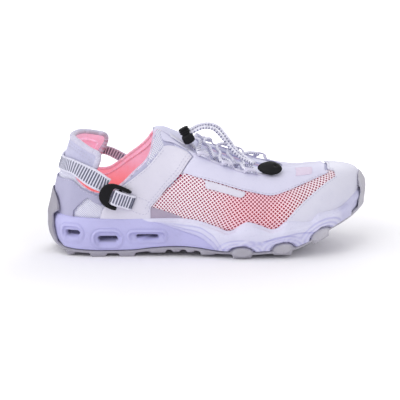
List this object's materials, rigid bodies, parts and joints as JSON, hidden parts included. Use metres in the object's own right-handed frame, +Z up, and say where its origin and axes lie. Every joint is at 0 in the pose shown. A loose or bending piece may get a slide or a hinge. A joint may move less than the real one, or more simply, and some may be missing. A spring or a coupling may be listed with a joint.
{
  "type": "hiking sandal",
  "caption": "Closed-toe hiking sandal for the right foot: cut-out fabric upper with overlays, elastic lacing, buckled heel strap, foam midsole and lugged rubber outsole.",
  "frame": {"origin": "centre of the bounding box in plan, on the floor that the lugs stand on", "axes": "+X towards the toe, +Y towards the inner side of the foot, +Z up"},
  "size_m": [0.2699, 0.0986, 0.1068],
  "materials": {
    "outsole_rubber": "matte moulded rubber",
    "midsole_foam": "satin moulded foam",
    "insole_foam": "matte lined foam",
    "upper_fabric": "open mesh over lining",
    "tongue_fabric": "soft knit",
    "overlay_film": "satin film",
    "band_synthetic": "fine grained synthetic",
    "webbing": "ribbed woven webbing",
    "black_plastic": "satin moulded plastic",
    "lace_cord": "braided elastic"
  },
  "bodies": {
    "root": {"outsole": "outsole_rubber", "midsole": "midsole_foam", "insole": "insole_foam", "upper": "upper_fabric", "tongue": "tongue_fabric", "toe_cap": "overlay_film", "eyestay": "overlay_film", "side_band_outer": "band_synthetic", "side_band_inner": "band_synthetic", "heel_counter": "overlay_film", "label_tag": "band_synthetic", "heel_strap": "webbing", "buckle": "black_plastic", "buckle_tab": "webbing", "lace_crossings": "lace_cord", "lace_loop_outer": "lace_cord", "lace_loop_inner": "lace_cord", "cord_lock": "black_plastic", "lace_keeper": "black_plastic"}
  },
  "joints": []
}
